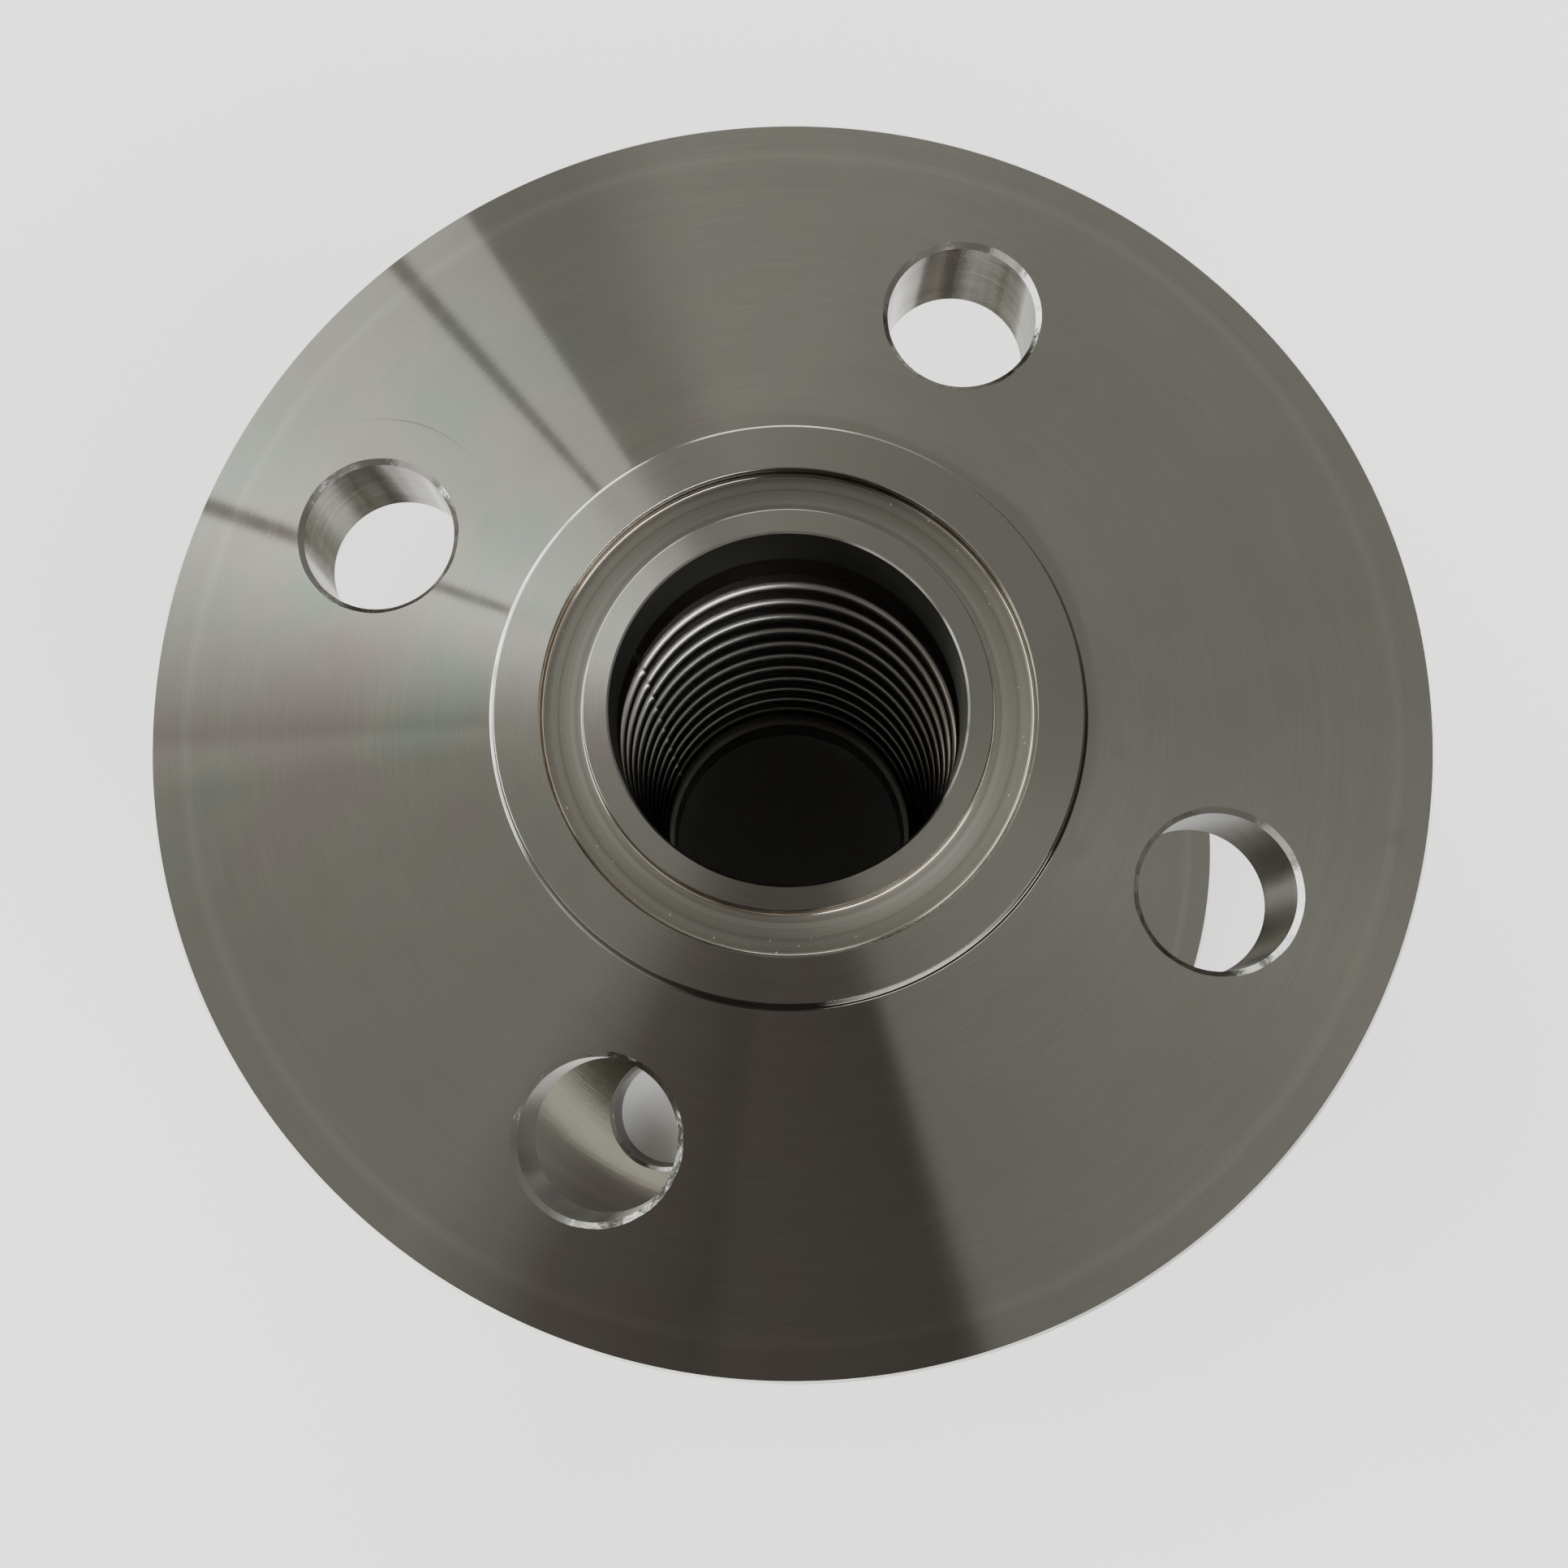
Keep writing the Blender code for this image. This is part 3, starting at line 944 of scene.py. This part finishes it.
WINDOW = (
    (172.0, 0.0, DAYLIGHT),
    (176.0, 0.12, DAYLIGHT),
    (177.5, 0.04, DAYLIGHT),
    (181.0, 0.20, DAYLIGHT),
    (183.5, 0.30, DAYLIGHT),
    (188.0, 0.52, DAYLIGHT),
    (198.8, 1.17, DAYLIGHT),
    (199.1, 0.0, DAYLIGHT),
    (200.5, 0.0, DAYLIGHT),
    (200.8, 1.12, DAYLIGHT),
    (212.0, 0.80, DAYLIGHT),
    (228.3, 0.62, DAYLIGHT),
    (228.6, 0.0, DAYLIGHT),
    (230.1, 0.0, DAYLIGHT),
    (230.4, 0.53, DAYLIGHT),
    (237.3, 0.44, DAYLIGHT),
    (237.7, 0.0, DAYLIGHT),
)
LOW = (
    (0.0, 0.16, ROOM),
    (30.0, 0.20, ROOM),
    (62.0, 0.18, ROOM),
    (70.0, 0.20, COAT),
    (112.0, 0.18, COAT),
    (122.0, 0.55, ROOM),
    (150.0, 0.80, ROOM),
    (160.0, 0.35, ROOM),
    (168.0, 2.60, DAYLIGHT),
    (197.0, 3.40, DAYLIGHT),
    (199.5, 1.20, DAYLIGHT),
    (202.0, 3.40, DAYLIGHT),
    (227.0, 3.00, DAYLIGHT),
    (229.5, 1.10, DAYLIGHT),
    (232.0, 2.80, DAYLIGHT),
    (244.0, 2.40, DAYLIGHT),
    (248.0, 0.18, ROOM),
    (254.0, 0.18, ROOM),
    (257.0, 1.60, DAYLIGHT),
    (274.0, 1.50, DAYLIGHT),
    (282.0, 0.40, ROOM),
    (305.0, 0.22, ROOM),
    (335.0, 0.20, ROOM),
    (360.0, 0.16, ROOM),
)
# how far the room's overhead spokes meet from straight up, towards the view's top, as a slope:
# where the level face mirrors the camera, so that each spoke falls on the face as a straight sector
SKY_CENTRE = (CAMERA_PLACE - FACE_CENTRE).xy.length / (CAMERA_PLACE - FACE_CENTRE).z
# heights of a direction, as the sine of its elevation, between which the low table fades to the overhead one
LOW_UP_TO = 0.55
OVERHEAD_FROM = 0.80
BACKDROP = (2.1, 2.1, 2.08)  # what the camera sees beyond the floor: plain and pale

# daylight from four sides, and the lamp that the folds of the bellows mirror
DAYLIGHT_ANGLES = (20.0, 110.0, 200.0, 290.0)
DAYLIGHT_POLAR = 42.0
DAYLIGHT_STRENGTH = 2.0
DAYLIGHT_WIDTH = math.radians(50.0)
LAMP_DIRECTION = (48.0, 47.0)
LAMP_DISTANCE = 1.5
LAMP_SIZE = (1.3, 0.40)
LAMP_POWER = 12.0
FLOOR_SIZE = 30.0  # metres, so that it runs on far past the picture's edges


def share_of_turn(nodes, y, x):
    return nodes.maths("FRACT", nodes.maths("DIVIDE", nodes.maths("ARCTAN2", y, x), 2 * math.pi))


def room_ramp(nodes, turn, table):
    """The room's colour from a table, in a direction that is given as a share of a turn."""
    first = table[0][0]
    span = table[-1][0] - first
    place = nodes.maths("DIVIDE", nodes.maths("SUBTRACT", turn, first / 360.0), span / 360.0)
    stops = []
    for degrees, light, tint in table:
        stops.append(((degrees - first) / span, tuple(light * channel for channel in tint)))
    return nodes.ramp(place, stops)


def build_world():
    """The room that the metal mirrors, and a plain pale backdrop where the camera looks past it."""
    world = bpy.data.worlds.new("studio")
    bpy.context.scene.world = world
    nodes = Nodes(world)
    direction = nodes.add("ShaderNodeTexCoord").outputs["Generated"]
    turned = {"Vector": direction, "Angle": -VIEW_RIGHT_AZIMUTH}
    level = nodes.add("ShaderNodeVectorRotate", turned, rotation_type="Z_AXIS")
    x, y, z = nodes.split(level.outputs["Vector"])
    clockwise = nodes.maths("MULTIPLY", y, -1.0)
    overhead_y = nodes.maths("SUBTRACT", nodes.maths("MULTIPLY", z, SKY_CENTRE), y)
    overhead_turn = share_of_turn(nodes, overhead_y, x)
    window = room_ramp(nodes, overhead_turn, WINDOW)
    overhead = nodes.mix(1.0, room_ramp(nodes, overhead_turn, OVERHEAD), window, "ADD")
    low = room_ramp(nodes, share_of_turn(nodes, clockwise, x), LOW)
    blend = {"Value": z, "From Min": LOW_UP_TO, "From Max": OVERHEAD_FROM}
    height = nodes.add("ShaderNodeMapRange", blend, interpolation_type="SMOOTHSTEP")
    room = nodes.mix(height.outputs["Result"], low, overhead)
    direct = nodes.add("ShaderNodeLightPath").outputs["Is Camera Ray"]
    seen = nodes.mix(direct, room, BACKDROP)
    nodes.tree.links.new(seen, nodes.tree.nodes["Background"].inputs["Color"])


def soft_daylight(name, direction, strength):
    """Even light from a wide part of the sky, which the metal doesn't mirror: its sky is the room's."""
    sun = bpy.data.lights.new(name, "SUN")
    sun.energy = strength
    sun.angle = DAYLIGHT_WIDTH
    obj = bpy.data.objects.new(name, sun)
    obj.rotation_euler = direction.to_track_quat("Z", "Y").to_euler()
    obj.visible_glossy = False
    bpy.context.scene.collection.objects.link(obj)


def build_lights():
    """Soft daylight that reaches the floor evenly from all sides, and a lamp over the bore."""
    for angle in DAYLIGHT_ANGLES:
        soft_daylight(f"daylight_{angle:.0f}", view_direction(angle, DAYLIGHT_POLAR), DAYLIGHT_STRENGTH)
    bore = Vector((0.0, 0.0, TOP_Z))
    place = bore + view_direction(*LAMP_DIRECTION) * LAMP_DISTANCE
    area_light("lamp_over_bore", place, bore, LAMP_SIZE, LAMP_POWER)


def build_camera():
    data = bpy.data.cameras.new("camera")
    data.lens = CAMERA_LENS
    data.sensor_width = 36.0
    data.shift_x, data.shift_y = CAMERA_SHIFT
    data.clip_start = 0.005
    obj = bpy.data.objects.new("camera", data)
    forward = (CAMERA_TARGET - CAMERA_PLACE).normalized()
    up_hint = Vector((math.cos(CAMERA_UP_AZIMUTH), math.sin(CAMERA_UP_AZIMUTH), 0.0))
    right = forward.cross(up_hint).normalized()
    up = right.cross(forward)
    turn = Matrix((right, up, -forward)).transposed().to_4x4()
    obj.matrix_world = Matrix.Translation(CAMERA_PLACE) @ turn
    bpy.context.scene.collection.objects.link(obj)
    bpy.context.scene.camera = obj


# ------------------------------------------------------------------------ main


def build():
    build_camera()
    build_world()
    build_lights()
    build_floor()
    face = turned_face_material("turned_face", 1.0, 0.048)
    raised = turned_face_material("turned_raised_face", 0.80, 0.10)
    wall = turned_wall_material("turned_wall", (0.34, 0.335, 0.31), 0.22, 3200.0, 0.010 * MM)
    drilled = drilled_wall_material()
    groove = groove_material()
    fillet = polished_step_material("turned_fillet", (0.84, 0.83, 0.79), *STEP_PAINTED_SHADE)
    groove_side = polished_step_material("groove_side", (0.53, 0.485, 0.43), *GROOVE_SIDE_PAINTED_SHADE)
    edge = edge_material()
    sheet = bellows_material()
    bead = weld_material()
    finishes = (face, wall, groove, fillet, groove_side, raised)
    for end in ("lower", "upper"):
        upper = end == "upper"
        body = f"{end}_end"
        build_flange(f"{end}_flange_turned", upper, f"{end}_flange", body, finishes, (drilled, edge))
        build_collar(f"{end}_collar_ring", upper, f"{end}_collar", body, wall)
        build_weld(f"{end}_weld_bead", upper, f"{end}_weld", body, bead)
    build_bellows(sheet)


build()
